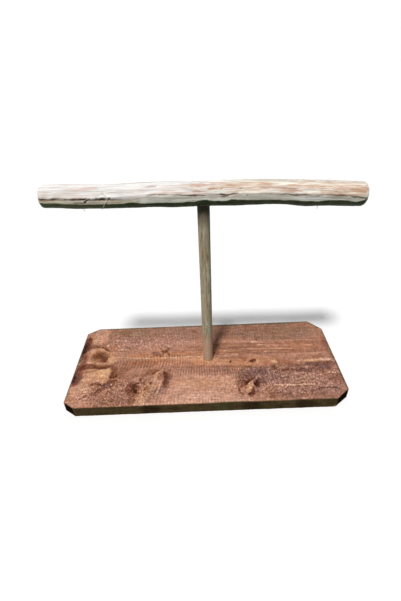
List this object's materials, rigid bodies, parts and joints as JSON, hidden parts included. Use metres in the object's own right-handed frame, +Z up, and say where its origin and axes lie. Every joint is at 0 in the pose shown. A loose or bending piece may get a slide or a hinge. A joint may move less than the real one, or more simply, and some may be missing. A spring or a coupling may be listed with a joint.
{
  "type": "bird t-stand",
  "caption": "Tabletop T-stand for a small bird: a peeled branch perch on a round dowel post, set in a rectangular rough-sawn board with its corners cut off.",
  "frame": {"origin": "middle of the board's underside, where the stand rests", "axes": "+X along the board and the perch, +Y to the back, +Z up"},
  "size_m": [0.33, 0.14, 0.2429],
  "materials": {
    "stained_board": "rough-sawn softwood with a red-brown stain",
    "dowel_wood": "weathered bare dowel",
    "peeled_branch": "peeled branch, dry and bare",
    "screw_steel": "zinc-plated wood screw"
  },
  "bodies": {
    "root": {"base_board": "stained_board", "post": "dowel_wood", "perch": "peeled_branch", "base_screw": "screw_steel"}
  },
  "joints": []
}
